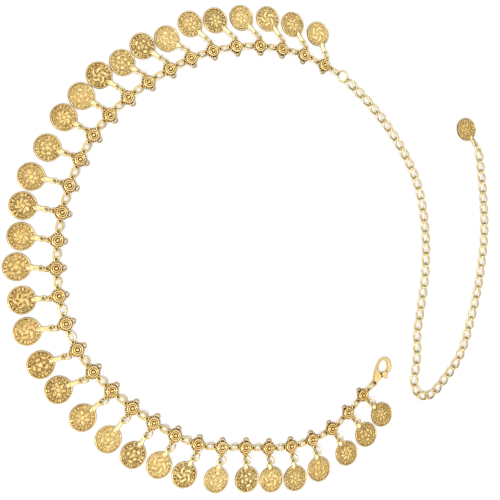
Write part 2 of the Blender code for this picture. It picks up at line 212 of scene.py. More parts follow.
class Shape:
    """Closed surfaces of one piece with patina and painted shade, tone and material per point or face."""

    def __init__(self):
        self.points, self.patina, self.tone = [], [], []
        self.faces, self.slots = [], []
        self.count = 0

    def add(self, form, origin=(0, 0, 0), x=(1, 0, 0), y=(0, 1, 0), slot=0, tone=0.5):
        """Place a form by its origin and the directions of its x and y; it stays level."""
        points, faces, patina = form
        placed = points @ np.array([x, y, UP], float) + np.array(origin, float)
        self.points.append(placed)
        self.patina.append(np.broadcast_to(patina, len(points)))
        self.tone.append(np.full(len(points), tone))
        for group in faces:
            self.faces.append(np.asarray(group) + self.count)
            self.slots.append(np.full(len(group), slot))
        self.count += len(points)

    def make(self, name, materials, body, nodes):
        """Turn what was added into one object that rides on a body in place of its solids."""
        points = (np.vstack(self.points) + SHIFT) * MM
        mesh = bpy.data.meshes.new(name)
        mesh.vertices.add(len(points))
        mesh.vertices.foreach_set("co", points.ravel())
        corners = np.concatenate([group.ravel() for group in self.faces])
        sizes = np.concatenate([np.full(len(group), group.shape[1]) for group in self.faces])
        mesh.loops.add(len(corners))
        mesh.loops.foreach_set("vertex_index", corners.astype(np.int32))
        mesh.polygons.add(len(sizes))
        mesh.polygons.foreach_set("loop_start", (np.cumsum(sizes) - sizes).astype(np.int32))
        mesh.polygons.foreach_set("material_index", np.concatenate(self.slots).astype(np.int32))
        mesh.update(calc_edges=True)
        for label, values in (("patina", self.patina), ("tone", self.tone)):
            layer = mesh.attributes.new(label, "FLOAT", "POINT")
            layer.data.foreach_set("value", np.concatenate(values).astype(np.float32))
        mesh.shade_smooth()
        mesh.set_sharp_from_angle(angle=SHARP_ANGLE)
        for material in materials:
            mesh.materials.append(material)
        item = bpy.data.objects.new(name, mesh)
        bpy.context.collection.objects.link(item)
        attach(item, body)
        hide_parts(*nodes)


def outward(points, faces, patina=0.0):
    """The form with its faces turned out."""
    volume = 0.0
    for group in faces:
        corners = points[np.asarray(group)]
        for i in range(1, corners.shape[1] - 1):
            volume += np.einsum("ij,ij->i", corners[:, 0], np.cross(corners[:, i], corners[:, i + 1])).sum()
    if volume < 0:
        faces = [np.asarray(group)[:, ::-1] for group in faces]
    return points, faces, np.broadcast_to(patina, len(points)).astype(float)


def grid_faces(rows, columns, wrap_rows=False):
    """Quads of a grid of points that closes round its columns."""
    i = np.arange(rows if wrap_rows else rows - 1)[:, None]
    j = np.arange(columns)[None, :]
    a, b = i * columns, ((i + 1) % rows) * columns
    n = (j + 1) % columns
    return np.stack([a + j, a + n, b + n, b + j], axis=-1).reshape(-1, 4)


def end_fans(sides, count):
    """Triangles from the first and last of a grid's rings to the two tips that follow its points."""
    j = np.arange(sides)
    k = (j + 1) % sides
    last = count - sides
    return np.vstack([np.stack([np.full(sides, count), k, j], axis=1),
                      np.stack([np.full(sides, count + 1), last + j, last + k], axis=1)])


def lathe(profile, sides):
    """Solid of revolution from radius, z and patina with painted shade in rows that start and end on the
    axis.
    """
    rows = np.array(profile, float)
    turn = 2 * np.pi * np.arange(sides) / sides
    body = rows[1:-1]
    rings = np.stack([np.outer(body[:, 0], np.cos(turn)), np.outer(body[:, 0], np.sin(turn)),
                      np.repeat(body[:, 1:2], sides, axis=1)], axis=-1).reshape(-1, 3)
    points = np.vstack([rings, [[0, 0, rows[0, 1]], [0, 0, rows[-1, 1]]]])
    patina = np.concatenate([np.repeat(body[:, 2], sides), [rows[0, 2], rows[-1, 2]]])
    return outward(points, [grid_faces(len(body), sides), end_fans(sides, len(rings))], patina)


def rounded(rows, times=1):
    """Rows with their corners cut, ends kept."""
    rows = np.array(rows, float)
    for _ in range(times):
        a, b = rows[:-1], rows[1:]
        mid = np.stack([0.75 * a + 0.25 * b, 0.25 * a + 0.75 * b], axis=1).reshape(-1, rows.shape[1])
        rows = np.vstack([rows[:1], mid[1:-1], rows[-1:]])
    return rows


# How far an open wire's ends bulge, as a share of its radius
END_BULGE = 0.35


def tube(path, radius, sides, hub=None, normal=None, closed=True, across=None, patina=0.0, square=1.0):
    """Wire along a path; radius is one number or one for each point, across that of the other axis.

    A square below 1 turns its round section towards a rounded box.
    """
    path = np.asarray(path, float)
    count = len(path)
    if closed:
        along = np.roll(path, -1, axis=0) - np.roll(path, 1, axis=0)
    else:
        along = np.gradient(path, axis=0)
    along /= np.linalg.norm(along, axis=1)[:, None]
    if normal is None:
        out = path - np.asarray(hub)
        out -= along * np.einsum("ij,ij->i", out, along)[:, None]
        out /= np.linalg.norm(out, axis=1)[:, None]
        side = np.cross(along, out)
    else:
        side = np.broadcast_to(np.asarray(normal, float), path.shape)
        out = np.cross(side, along)
    turn = 2 * np.pi * np.arange(sides) / sides
    level = np.sign(np.cos(turn)) * np.abs(np.cos(turn)) ** square
    rise = np.sign(np.sin(turn)) * np.abs(np.sin(turn)) ** square
    wide = np.broadcast_to(radius, count).astype(float)
    high = wide if across is None else np.broadcast_to(across, count).astype(float)
    points = (path[:, None] + out[:, None] * (wide[:, None] * level)[..., None]
              + side[:, None] * (high[:, None] * rise)[..., None]).reshape(-1, 3)
    faces = [grid_faces(count, sides, closed)]
    wear_and_shade = np.repeat(np.broadcast_to(patina, count), sides)
    if not closed:
        start_tip = path[:1] - along[:1] * wide[0] * END_BULGE
        end_tip = path[-1:] + along[-1:] * wide[-1] * END_BULGE
        faces.append(end_fans(sides, len(points)))
        points = np.vstack([points, start_tip, end_tip])
        wear_and_shade = np.concatenate([wear_and_shade, wear_and_shade[:1], wear_and_shade[-1:]])
    return outward(points, faces, wear_and_shade)


def ball(radius, sides, rows):
    """Bead, with painted shade on its lower half."""
    turn = np.linspace(-np.pi / 2, np.pi / 2, rows + 1)
    return lathe([(max(0.0, radius * math.cos(t)), radius * math.sin(t), float(step(-t, -0.3, 0.5)))
                  for t in turn], sides)


def smooth_outline(outline, steps=4):
    """Closed curve through the corners of an outline."""
    p = np.array(outline, float)
    found = []
    for i in range(len(p)):
        four = [np.append(p[(i + d) % len(p)], 0.0) for d in (-1, 0, 1, 2)]
        found.extend(curve_point(*four, j / steps)[:2] for j in range(steps))
    return np.array(found)


# Width of the level strip inside a plate's rounded edge
FLAT_EDGE = 0.08


def plate(outline, low, high, edge, patina=0.0):
    """Plate with a rounded edge all the way round."""
    p = smooth_outline(outline)
    area = np.sum(p[:, 0] * np.roll(p[:, 1], -1) - np.roll(p[:, 0], -1) * p[:, 1])
    if area < 0:
        p = p[::-1]
    along = np.roll(p, -1, axis=0) - np.roll(p, 1, axis=0)
    along /= np.linalg.norm(along, axis=1)[:, None]
    inward = np.stack([-along[:, 1], along[:, 0]], axis=1)
    levels = [(edge + FLAT_EDGE, low)]
    for degrees in (0, 30, 60, 90):
        a = math.radians(degrees)
        levels.append((edge * (1 - math.sin(a)), low + edge * (1 - math.cos(a))))
    levels += [(inset, low + high - z) for inset, z in reversed(levels)]
    points = np.vstack([np.column_stack([p + inward * inset, np.full(len(p), z)]) for inset, z in levels])
    n = len(p)
    caps = [np.arange(n)[None, ::-1], (np.arange(n) + n * (len(levels) - 1))[None, :]]
    return outward(points, [grid_faces(len(levels), n)] + caps, patina)


def step(value, low, high):
    """Smooth rise from 0 at low to 1 at high."""
    t = np.clip((value - low) / (high - low), 0, 1)
    return t * t * (3 - 2 * t)


def near(distance, size, soft=0.07):
    """1 within a size of something, falling softly to 0."""
    return 1 - step(distance, size, size + soft)


# Materials

# In metres
GRAIN_DEPTH = 0.00008


def gold(name, light, deep, dark, roughness, grain, scale, specks):
    """Plated metal: light and deep tones in clouds, dark patina and painted shade where the piece says, fine
    surface grain.
    """
    material = bpy.data.materials.new(name)
    material.use_nodes = True
    nodes, links = material.node_tree.nodes, material.node_tree.links
    shader = nodes["Principled BSDF"]
    shader.inputs["Metallic"].default_value = 1.0
    place = nodes.new("ShaderNodeTexCoord")

    def noise(size, detail):
        node = nodes.new("ShaderNodeTexNoise")
        node.inputs["Scale"].default_value = size
        node.inputs["Detail"].default_value = detail
        links.new(place.outputs["Object"], node.inputs["Vector"])
        return node.outputs["Fac"]

    def reach(value, low, high, to_low=0.0, to_high=1.0):
        node = nodes.new("ShaderNodeMapRange")
        node.interpolation_type = "SMOOTHSTEP"
        ends = {"From Min": low, "From Max": high, "To Min": to_low, "To Max": to_high}
        for label, number in ends.items():
            node.inputs[label].default_value = number
        links.new(value, node.inputs["Value"])
        return node.outputs["Result"]

    def math_node(kind, *values):
        node = nodes.new("ShaderNodeMath")
        node.operation = kind
        node.use_clamp = True
        for i, value in enumerate(values):
            if isinstance(value, float):
                node.inputs[i].default_value = value
            else:
                links.new(value, node.inputs[i])
        return node.outputs["Value"]

    def mix(factor, a, b):
        node = nodes.new("ShaderNodeMix")
        node.data_type = "RGBA"
        links.new(factor, node.inputs["Factor"])
        for socket, value in (("A", a), ("B", b)):
            slot = next(s for s in node.inputs if s.name == socket and s.type == "RGBA")
            if isinstance(value, tuple):
                slot.default_value = (*value, 1.0)
            else:
                links.new(value, slot)
        return next(s for s in node.outputs if s.type == "RGBA")

    def layer(label):
        node = nodes.new("ShaderNodeAttribute")
        node.attribute_name = label
        return node.outputs["Fac"]

    cloud = reach(noise(size=180.0, detail=3.0), 0.35, 0.65)
    tone = math_node("MULTIPLY_ADD", layer("tone"), 0.6, -0.05)
    plated = mix(math_node("ADD", tone, math_node("MULTIPLY", cloud, 0.35)), light, deep)
    fine = noise(size=1400.0, detail=4.0)
    # The per-point attribute carries patina and painted shade; it and the random specks mix in the dark
    # colour
    wear_and_shade = math_node("MULTIPLY", layer("patina"), reach(fine, 0.2, 0.75, 1.1, 0.75))
    wear_and_shade = math_node("ADD", wear_and_shade, reach(noise(size=1000.0, detail=2.0), 0.50, 0.68, 0.0, specks))
    links.new(mix(wear_and_shade, plated, dark), shader.inputs["Base Color"])
    sheen = reach(noise(size=900.0, detail=3.0), 0.3, 0.7, roughness - 0.06, roughness + 0.07)
    rough = math_node("ADD", sheen, math_node("MULTIPLY", wear_and_shade, 0.3))
    links.new(rough, shader.inputs["Roughness"])
    bump = nodes.new("ShaderNodeBump")
    bump.inputs["Strength"].default_value = grain
    bump.inputs["Distance"].default_value = GRAIN_DEPTH
    links.new(noise(size=scale, detail=4.0), bump.inputs["Height"])
    links.new(bump.outputs["Normal"], shader.inputs["Normal"])
    return material


BELT_GOLD = gold("belt_plate", light=(0.93, 0.70, 0.31), deep=(0.77, 0.50, 0.17), dark=(0.060, 0.028, 0.004),
                 roughness=0.24, grain=0.25, scale=2200.0, specks=0.12)
COIN_GOLD = gold("coin_plate", light=(0.97, 0.73, 0.32), deep=(0.79, 0.53, 0.18), dark=(0.13, 0.065, 0.013),
                 roughness=0.28, grain=0.5, scale=1800.0, specks=0.36)
LUG_GOLD = gold("lug_plate", light=(0.93, 0.79, 0.41), deep=(0.86, 0.67, 0.29), dark=(0.20, 0.11, 0.02),
                roughness=0.22, grain=0.15, scale=2600.0, specks=0.08)
CHAIN_GOLD = gold("chain_plate", light=(0.90, 0.72, 0.32), deep=(0.74, 0.55, 0.19), dark=(0.14, 0.09, 0.022),
                  roughness=0.20, grain=0.12, scale=2600.0, specks=0.1)
CLASP_GOLD = gold("clasp_plate", light=(0.78, 0.58, 0.26), deep=(0.66, 0.43, 0.15), dark=(0.12, 0.05, 0.010),
                  roughness=0.22, grain=0.12, scale=2600.0, specks=0.12)


# Stations, rings and links

# Radius, z and patina with painted shade, from the boss over two darker grooves to the rim and the flange
# under the granules; the dark lower side and flange are painted shade
STATION_PROFILE = (
    (0.0, 2.75, 0.0), (0.60, 2.73, 0.0), (0.92, 2.60, 0.0), (1.08, 2.30, 0.15), (1.14, 1.85, 1.0),
    (1.24, 1.66, 1.0), (1.42, 1.66, 1.0), (1.54, 1.82, 1.0), (1.60, 2.10, 0.15), (1.80, 2.30, 0.0),
    (2.12, 2.37, 0.0), (2.38, 2.31, 0.0), (2.52, 2.12, 0.15), (2.58, 1.86, 1.0), (2.69, 1.78, 1.0),
    (2.80, 1.88, 0.9), (2.88, 2.08, 0.1), (3.08, 2.20, 0.0), (3.42, 2.18, 0.0), (3.70, 2.10, 0.0),
    (3.90, 1.92, 0.0), (4.00, 1.60, 0.6), (4.02, 0.95, 1.0), (4.25, 0.66, 1.0), (4.72, 0.60, 1.0),
    (4.80, 0.35, 1.0), (4.68, 0.08, 1.0), (4.40, 0.0, 0.8), (0.0, 0.0, 0.4),
)
LOOP_OUT = 5.75
FREE_LOOP_Z = 0.7
FREE_OUTLINE = ((3.4, -1.6), (4.6, -1.75), (5.9, -1.4), (6.55, 0.0), (5.9, 1.4), (4.6, 1.75), (3.4, 1.6))
GRANULE_OUT = 4.5
GRANULE_Z = 0.9
GRANULE_TURNS = (23, 45, 67)


def ring_points(count, at):
    """Points round a closed curve; at gives one from the cosine and sine of its turn."""
    turn = 2 * np.pi * np.arange(count) / count
    return np.array([at(math.cos(t), math.sin(t)) for t in turn])


def loop_wire(major, minor, high, sides=WIRE_SIDES, count=22):
    """Small level loop of a wire with a minor radius across and a high one upward, with painted shade inside
    its hole.
    """
    path = ring_points(count, lambda c, s: np.array([major * c, major * s, 0.0]))
    points, faces, _ = tube(path, minor, sides, hub=(0, 0, 0), across=high)
    # Painted shade on the inner side of the wire, in the loop's hole
    inner = 1 - step(np.hypot(points[:, 0], points[:, 1]), major - minor, major)
    return points, faces, inner


def neck(start, end):
    """Broad root between a station's rim and one of its loops, with painted shade where it meets the rim."""
    path = np.array([[start, 0, 1.15], [(start + end) / 2, 0, 1.25], [end, 0, HOLE_Z]])
    # Painted shade, darkest at the root by the rim
    return tube(path, [1.45, 1.10, 0.66], 12, normal=(0, 0, 1), closed=False, across=[0.6, 0.55, 0.48],
                patina=np.array([1.0, 0.75, 0.25]))


def free_loop():
    """Wide low loop that holds nothing."""
    path = smooth_outline(FREE_OUTLINE)
    return tube(np.column_stack([path, np.zeros(len(path))]), 0.5, WIRE_SIDES, hub=(4.6, 0, 0), patina=0.4)


STATION = lathe(rounded(STATION_PROFILE), 36)
STATION_LOOP = loop_wire(major=1.18, minor=0.56, high=0.52)
FREE_LOOP = free_loop()
NECK = neck(start=3.6, end=4.85)
GRANULE = ball(0.54, sides=10, rows=8)


def add_station(shape, spot, way, tone):
    """Button with three worked loops, a free one on the inner side, and granules between them."""
    side = left_of(way)
    shape.add(STATION, spot, way, side, tone=tone)
    for quarter in range(4):
        a = math.pi / 2 * quarter
        x = way * math.cos(a) + side * math.sin(a)
        if quarter == 3:
            shape.add(FREE_LOOP, spot + UP * FREE_LOOP_Z, x, left_of(x), tone=tone)
        else:
            shape.add(NECK, spot, x, left_of(x), tone=tone)
            shape.add(STATION_LOOP, spot + x * LOOP_OUT + UP * HOLE_Z, x, left_of(x), tone=tone)
        for turn in GRANULE_TURNS:
            t = a + math.radians(turn)
            d = way * math.cos(t) + side * math.sin(t)
            shape.add(GRANULE, spot + d * GRANULE_OUT + UP * GRANULE_Z, d, left_of(d), tone=tone * 0.5)


# How far the rings between stations reach down on the coin side and up on the inner side
JOIN_TILT = math.radians(27)
JOIN_LOW = 1.95
JOIN_HIGH = 2.5
JOIN_REST = 0.42
# Their wire, how much it swells at the flanks, and its upward radius
JOIN_WIRE = 0.45
JOIN_SWELL = 0.25
JOIN_WIRE_HIGH = 0.44


def add_join_ring(shape, start, end, tone):
    """D-shaped ring through two holes, straighter on the coin side and raised on the inner side."""
    along = unit(end - start)
    inward = -left_of(along)
    across = inward * math.cos(JOIN_TILT) + UP * math.sin(JOIN_TILT)
    rise = JOIN_LOW * math.sin(JOIN_TILT) + JOIN_REST
    shift = (HOLE_Z - rise) / math.sin(JOIN_TILT)
    hub = (start + end) / 2 - inward * shift * math.cos(JOIN_TILT)
    hub[2] = rise
    length = np.linalg.norm(end - start) / 2 / math.sqrt(1 - (shift / JOIN_HIGH) ** 2)

    def at(c, s):
        if s > 0:
            return hub + along * length * c + across * JOIN_HIGH * s
        return hub + along * length * math.copysign(abs(c) ** 0.7, c) - across * JOIN_LOW * abs(s) ** 0.8

    path = ring_points(RING_POINTS, at)
    turn = 2 * np.pi * np.arange(RING_POINTS) / RING_POINTS
    flank = np.abs(np.sin(turn)) ** 0.8
    from_start = np.linalg.norm((path - start)[:, :2], axis=1)
    from_end = np.linalg.norm((path - end)[:, :2], axis=1)
    # Painted shade where the ring passes through the loops' holes, and a little on its lower side
    hole_shade = near(np.minimum(from_start, from_end), 0.75, soft=0.6)
    wear_and_shade = np.maximum(hole_shade, 0.22 * step(np.sin(turn), -0.8, -0.1))
    wire = JOIN_WIRE + JOIN_SWELL * flank
    ring = tube(path, wire, WIRE_SIDES, hub=hub, across=JOIN_WIRE_HIGH, patina=wear_and_shade)
    shape.add(ring, slot=1, tone=tone)


def add_coin_ring(shape, hole, out, radius, tone):
    """Leaning round ring that carries a coin, with painted shade where it is low, near the floor."""
    hub, upward, _ = coin_ring_frame(hole, out, radius)
    path = ring_points(36, lambda c, s: hub + out * radius * c + upward * radius * s)
    # Painted shade on the low part of the ring
    low = 0.8 * (1 - step(path[:, 2], HOLE_Z - 0.6, HOLE_Z + 0.7))
    shape.add(tube(path, COIN_RING_WIRE, WIRE_SIDES, hub=hub, patina=low), slot=1, tone=tone)


LINK_TWIST = math.radians(40)
LINK_Z = 1.53
# How far a link reaches past the joints at its two ends
LINK_LAP = 0.9
LINK_HALF_WIDTH = 2.8
LINK_WIRE = 0.58


def add_link(shape, start, end, tone):
    """Twisted curb link, with painted shade where its neighbours bear on it, on its underside and on its
    lower flanks.
    """
    along = unit(end - start)
    side = left_of(along)
    hub = (start + end) / 2 + UP * LINK_Z
    length = np.linalg.norm(end - start) / 2 + LINK_LAP

    def at(c, s):
        x, y = length * c, LINK_HALF_WIDTH * s
        turn = LINK_TWIST * x / length
        return hub + along * x + side * y * math.cos(turn) + UP * y * math.sin(turn)

    points, faces, _ = tube(ring_points(RING_POINTS, at), LINK_WIRE, WIRE_SIDES, hub=hub)
    local = (points - hub) @ np.array([along, side, UP]).T
    # Painted shade at the crossings with the neighbouring links, below them and on the lower flanks
    bearing = np.exp(-((np.abs(local[:, 0]) - length + 1.0) / 0.55) ** 2)
    below = step(-local[:, 2] * np.sign(local[:, 0] * local[:, 1]), -0.4, 0.5)
    flank = 0.22 * step(-local[:, 2] + np.abs(local[:, 1]) * 0.3, 0.0, 0.9)
    shape.add((points, faces, np.clip(bearing * (0.45 + 0.55 * below) + flank, 0, 1)), tone=tone)


# Coins

def band_marks(angle, v, cells, kind):
    """Ring of plain bars, dots, dashes and chevrons, one in each cell."""
    place = (angle / (2 * np.pi)) % 1.0 * cells
    cell = np.floor(place).astype(int)
    u = place - cell
    mark = (cell * 7 + (cell // 3) * 2 + kind * 3) % 5
    tall = near(np.abs(v - 0.5), 0.38)
    looks = (
        near(np.abs(u - 0.5), 0.17) * tall,
        near(np.hypot((u - 0.5) * 1.4, v - 0.5), 0.26),
        np.maximum(near(np.abs(u - 0.25), 0.10), near(np.abs(u - 0.72), 0.10)) * tall,
        near(np.minimum(np.abs(v - 0.20), np.abs(v - 0.80)), 0.10) * near(np.abs(u - 0.5), 0.30),
        near(np.abs(v - 0.28 - np.abs(u - 0.5) * 0.9), 0.12) * near(np.abs(u - 0.5), 0.36),
    )
    return np.choose(mark, looks)


def centre_marks(radius, angle, kind):
    """Petals, scrolls or interlaced waves round a seeded boss."""
    if kind == 0:
        a = angle + 0.16 * radius
        wave = np.abs(np.cos(4 * a))
        marks = step(2.4 + 3.1 * wave - radius, 0.3, 0.6) * step(wave, 0.30, 0.55)
        marks *= 1 - 0.7 * np.exp(-(np.sin(4 * a) * radius / 0.30) ** 2) * step(radius, 3.0, 3.6)
    elif kind == 1:
        marks = step(np.cos(5 * angle + 1.5 * radius), 0.0, 0.35)
        marks = np.maximum(marks, near(np.abs(radius - 3.7), 0.22) * step(np.cos(10 * angle), -0.2, 0.2))
    elif kind == 2:
        a = angle - 0.10 * radius
        wave = np.abs(np.cos(3 * a))
        marks = step(1.9 + 3.5 * wave - radius, 0.3, 0.6) * step(wave, 0.35, 0.55)
        marks *= 1 - 0.8 * step(np.cos(18 * a + radius), 0.3, 0.8) * step(radius, 2.6, 3.1)
        marks = np.maximum(marks, near(np.abs(radius - 4.6), 0.45) * near(wave, 0.18))
    else:
        marks = step(np.cos(3 * angle + 1.7 * radius) + np.cos(5 * angle - 1.3 * radius), 0.15, 0.6)
    marks = marks * step(radius, 1.85, 2.15)
    boss = near(radius, 1.2, 0.3) * (0.7 + 0.3 * np.cos(6 * angle) * step(radius, 0.3, 0.7))
    return 0.16 * marks + 0.2 * boss


BAND_IN = 6.1
BAND_WIDTH = 1.85
BAND_HEIGHT = 0.17
BAND_CELLS = (18, 16, 19, 17)
LINE_R = 5.85
LINE_HEIGHT = 0.11


def coin_relief(radius, angle, kind):
    """Height of a coin's face above its field: band of marks, line inside it and centre."""
    v = (radius - BAND_IN) / BAND_WIDTH
    inside = step(v, -0.02, 0.05) * (1 - step(v, 0.95, 1.0))
    height = BAND_HEIGHT * band_marks(angle, v, BAND_CELLS[kind % 4], kind) * inside
    height = height + LINE_HEIGHT * np.exp(-((radius - LINE_R) / 0.16) ** 2)
    return height + centre_marks(radius, angle, kind % 4) * (1 - step(radius, 5.2, 5.4))


COIN_ANGLES = 120
FACE_RADII = np.concatenate([np.linspace(0.3, 5.55, 22), np.linspace(5.7, 7.98, 13)])
BACK_RADII = np.concatenate([np.linspace(0.5, 5.9, 9), np.linspace(6.2, 8.1, 6)])
# Radius, z and patina over the edge, from the face to the back; the dark groove inside the rim is patina,
# the dark outer wall is painted shade
COIN_EDGE = (
    (8.06, 1.18, 0.85), (8.18, 1.25, 0.80), (8.28, 1.44, 0.15), (8.40, COIN_THICK, 0.0), (8.60, 1.49, 0.0),
    (8.76, 1.44, 0.25), (8.90, 1.32, 0.8), (COIN_R, 1.12, 1.0), (COIN_R, 0.20, 0.8), (8.93, 0.07, 0.1),
    (8.78, 0.0, 0.0), (8.52, 0.01, 0.0), (8.36, 0.10, 0.3), (8.24, 0.20, 0.6),
)
# Light, dark and middling coins, in the order of the looks, and their share of the common patina
WEAR_LETTERS = "LDM"
WEAR = (0.75, 1.3, 1.0)
GROOVE_RADII = (5.5, 8.0)
FIELD_Z = 1.20
BACK_FIELD_Z = 0.20


def coin_disc(kind, spin):
    """Struck coin with marks on both faces."""
    turn = 2 * np.pi * np.arange(COIN_ANGLES) / COIN_ANGLES
    rows = []

    def face(radii, flip):
        for r in radii:
            height = coin_relief(np.full(COIN_ANGLES, r), turn * (-1 if flip else 1) + spin, kind + 2 * flip)
            z = BACK_FIELD_Z - 0.8 * height if flip else FIELD_Z + height
            groove = sum(near(abs(r - at), 0.1, 0.12) for at in GROOVE_RADII)
            field = (0.54 + 0.14 * step(r, 5.9, 6.2)) * WEAR[kind % len(WEAR)]
            bare = step(height, 0.01, 0.12 + 0.06 * groove)
            rows.append((r, z, np.clip(field + 0.4 * groove, 0, 1) * (1 - bare)))

    face(FACE_RADII, 0)
    wobble = 0.03 * np.sin(3 * turn + spin) + 0.02 * np.sin(7 * turn + 2 * spin)
    for r, z, wear_and_shade in COIN_EDGE:
        radius = r + wobble * (r > 8.5)
        rows.append((radius, np.full(COIN_ANGLES, z), wear_and_shade * (0.75 + 0.25 * np.cos(turn - spin))))
    face(BACK_RADII[::-1], 1)
    points = np.vstack([np.column_stack([r * np.cos(turn), r * np.sin(turn), z]) for r, z, _ in rows])
    fans = end_fans(COIN_ANGLES, len(points))
    points = np.vstack([points, [[0, 0, rows[0][1].mean()], [0, 0, rows[-1][1].mean()]]])
    patina = np.concatenate([wear_and_shade for _, _, wear_and_shade in rows] + [[0.0, 0.0]])
    return outward(points, [grid_faces(len(rows), COIN_ANGLES), fans], patina)


EYE_Z = 1.35
EYE = loop_wire(major=1.44, minor=0.53, high=0.34, sides=12, count=26)
COIN_LOOKS = 12
LOOK_TURN = 2.3
DISCS = [coin_disc(i, i * LOOK_TURN) for i in range(COIN_LOOKS)]


def lug_bar(reach):
    """Bar from the eye over the coin's rim, soldered down at its end."""
    rim = reach - COIN_R
    x = np.array([1.4, 1.9, rim - 0.8, rim - 0.1, rim + 0.5, rim + 1.3, rim + 2.3, rim + 3.1])
    z = np.array([1.33, 1.35, 1.40, 1.50, 1.55, 1.52, 1.42, 1.28])
    half_width = np.array([1.20, 1.25, 1.40, 1.72, 1.78, 1.35, 0.70, 0.06])
    half_height = np.array([0.38, 0.40, 0.42, 0.44, 0.42, 0.36, 0.28, 0.05])
    x, z, half_width, half_height = rounded(np.column_stack([x, z, half_width, half_height]), times=2).T
    path = np.column_stack([x, np.zeros(len(x)), z])
    return tube(path, half_height, 20, normal=(0, 1, 0), closed=False, across=half_width, square=0.7)


def make_coin(name, hole, out, reach, ring_radius, look, tone):
    """One coin with its eye and lug, lying outward from the ring through the hole."""
    _, _, chord = coin_ring_frame(hole, out, ring_radius)
    eye = hole + out * chord
    eye[2] = 0.0
    side = left_of(out)
    shape = Shape()
    shape.add(DISCS[look], eye + out * reach, out, side, tone=tone)
    shape.add(EYE, eye + UP * EYE_Z, out, side, slot=1, tone=tone)
    shape.add(lug_bar(reach), eye, out, side, slot=1, tone=tone)
    shape.make(name + "_struck", [COIN_GOLD, LUG_GOLD], name, [name])


# Clasp

def to_clasp(shape, form, tone=0.4):
    """Add a form given in the clasp's own frame, with y along it from the tail."""
    shape.add(form, CLASP_TAIL, -left_of(CLASP_ALONG), CLASP_ALONG, tone=tone)


def moved(form, offset):
    """The form carried by an offset."""
    points, faces, patina = form
    return points + np.array(offset), faces, patina


# Outlines of the clasp's plates, with x to the hook's side and y from the tail
HOOK_OUTLINE = (
    (-1.5, 1.7), (-2.3, 4.2), (-2.9, 7.6), (-3.4, 10.9), (-3.25, 15.0), (-2.5, 18.1), (-0.4, 20.3),
    (2.4, 21.1), (4.8, 20.6), (7.1, 18.8), (8.5, 16.4), (8.8, 13.8), (8.2, 11.6), (7.2, 11.5),
    (6.3, 12.8), (6.2, 14.7), (5.2, 17.2), (3.1, 19.0), (0.7, 19.2), (-1.1, 18.0), (-1.85, 16.0),
    (-2.15, 13.6), (-2.1, 11.6), (-1.85, 9.0), (-1.75, 6.0), (-1.7, 3.4), (0.0, 3.1), (1.7, 3.1),
    (1.6, 1.9), (0.0, 1.5),
)
CHEEK_OUTLINE = (
    (-1.2, 1.5), (-2.0, 2.8), (-2.5, 4.6), (-3.0, 7.4), (-3.2, 9.2), (-2.4, 9.9), (-1.0, 9.2),
    (0.9, 8.3), (2.4, 7.45), (3.1, 5.8), (2.9, 4.0), (1.9, 2.5), (0.6, 1.6),
)
BLADE_OUTLINE = (
    (0.3, 4.7), (2.2, 5.3), (4.4, 6.4), (6.8, 8.6), (6.8, 10.4), (5.4, 11.4), (4.3, 10.2),
    (2.6, 9.2), (0.8, 8.4), (-0.6, 6.6), (0.1, 6.2), (0.5, 5.5),
)
GRIP_OUTLINE = (
    (3.55, 5.9), (4.8, 6.5), (6.2, 6.9), (7.3, 6.5), (8.3, 7.0), (8.5, 8.0), (7.8, 8.9),
    (7.8, 10.0), (7.2, 10.9), (5.7, 11.7), (4.1, 10.35), (2.6, 9.45), (1.35, 9.0), (2.55, 8.05),
    (3.4, 6.95),
)
PIVOT = (-0.3, 5.4, 0.0)
# Radius, z and patina
PIN_PROFILE = (
    (0, 0.02, 0), (0.5, 0.04, 0), (0.45, 0.2, 0.5), (0.45, 2.4, 0.5), (0.6, 2.56, 0.5),
    (0.5, 2.68, 0), (0, 2.72, 0),
)


def clasp_eye():
    """Thick ring at the clasp's tail, with painted shade only deep in its hole."""
    points, faces, inner = loop_wire(major=1.50, minor=0.76, high=0.66, sides=14, count=28)
    return points, faces, 0.8 * inner ** 2


CLASP_EYE = clasp_eye()


def make_clasp():
    """Hook, two cheeks, pin, tail eye and the ring to station 1; then the lever between the cheeks."""
    body = Shape()
    to_clasp(body, plate(HOOK_OUTLINE, low=0.1, high=2.5, edge=0.42))
    to_clasp(body, plate(CHEEK_OUTLINE, low=0.04, high=0.6, edge=0.2))
    to_clasp(body, plate(CHEEK_OUTLINE, low=2.0, high=2.58, edge=0.28))
    to_clasp(body, moved(lathe(rounded(PIN_PROFILE), 16), PIVOT))
    to_clasp(body, moved(CLASP_EYE, (0, 0, HOLE_Z)), tone=0.7)
    add_join_ring(body, CLASP_TAIL, FIRST_HOLE, tone=0.5)
    lever = Shape()
    to_clasp(lever, plate(BLADE_OUTLINE, low=0.92, high=1.68, edge=0.12, patina=0.2))
    to_clasp(lever, plate(GRIP_OUTLINE, low=0.27, high=2.33, edge=0.42))
    bearing = loop_wire(major=0.97, minor=0.17, high=0.36, sides=8, count=20)
    to_clasp(lever, moved(bearing, (PIVOT[0], PIVOT[1], HOLE_Z)))
    body.make("clasp_cast", [CLASP_GOLD, BELT_GOLD], "chain", ["clasp_body"])
    lever.make("clasp_thumb_lever", [CLASP_GOLD], "clasp_lever", ["clasp_lever"])


# Assembly

# Rates that give each kind of piece a wander of its own
STATION_RATE = 12.9
COIN_RING_RATE = 7.1
JOIN_RATE = 3.7
LINK_RATE = 5.3
COIN_RATE = 9.7


def wander(k, rate):
    """Repeatable number from 0 to 1."""
    return (math.sin(k * rate + 1.3) * 43758.5453) % 1.0


def warmth(k):
    """The gold is deeper in the first seven pieces from the clasp, fading towards the seventh."""
    return float(step(7 - k, 0, 5))


